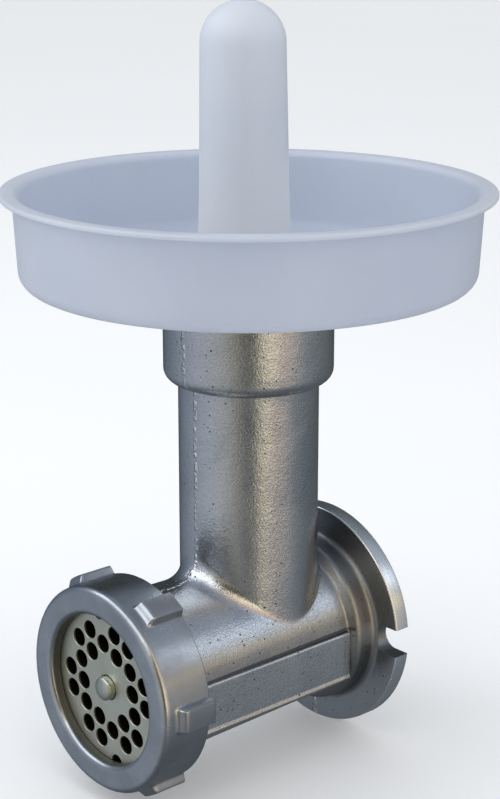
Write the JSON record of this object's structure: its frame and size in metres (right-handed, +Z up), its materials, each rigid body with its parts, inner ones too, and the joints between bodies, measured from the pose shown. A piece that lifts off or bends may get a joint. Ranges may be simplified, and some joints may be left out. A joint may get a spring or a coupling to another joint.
{
  "type": "meat mincer head",
  "caption": "Cast mincing head for a geared motor: barrel with mounting flange, feed tube, round white tray, pusher, feed screw, cross knife, hole plate and lugged ring nut.",
  "frame": {"origin": "on the barrel's axis at the back face of the mounting flange, where the head meets its motor", "axes": "+Z up along the feed tube, +Y back along the barrel towards the motor (the outlet faces -Y), +X to the right as seen from the outlet"},
  "size_m": [0.1576, 0.1576, 0.2512],
  "materials": {
    "cast_tinned": "tinned casting, satin with fine pits",
    "machined": "turned and tinned",
    "steel": "ground",
    "bronze": "bored sintered bronze",
    "nylon": "matt",
    "white_plastic": "translucent satin"
  },
  "bodies": {
    "housing": {"housing": "cast_tinned", "plate_key_pin": "steel", "rear_bush": "bronze"},
    "screw": {"feed_screw": "cast_tinned", "front_stud": "steel", "drive_shank": "steel", "shank_pin": "steel", "knife": "steel", "thrust_washer": "nylon"},
    "plate": {"hole_plate": "steel"},
    "ring_nut": {"ring_nut": "machined"},
    "tray": {"tray": "white_plastic"},
    "pusher": {"pusher": "white_plastic"}
  },
  "joints": [
    {"name": "screw_spin", "type": "hinge", "parent": "housing", "child": "screw", "pos_m": [0, -0.048, 0], "axis": [0, -1, 0], "continuous": true},
    {"name": "plate_slide", "type": "slide", "parent": "housing", "child": "plate", "axis": [0, -1, 0], "range_m": [0, 0.0127]},
    {"name": "nut_turn", "type": "hinge", "parent": "plate", "child": "ring_nut", "pos_m": [0, -0.093, 0], "axis": [0, -1, 0], "range_deg": [0, 1296]},
    {"name": "tray_lift", "type": "slide", "parent": "housing", "child": "tray", "axis": [0, 0, 1], "range_m": [0, 0.022]},
    {"name": "pusher_slide", "type": "slide", "parent": "housing", "child": "pusher", "axis": [0, 0, 1], "range_m": [0, 0.105]}
  ],
  "couplings": [
    {"joint": "plate_slide", "follows": "nut_turn", "m_per_rad": 0.00055704}
  ]
}
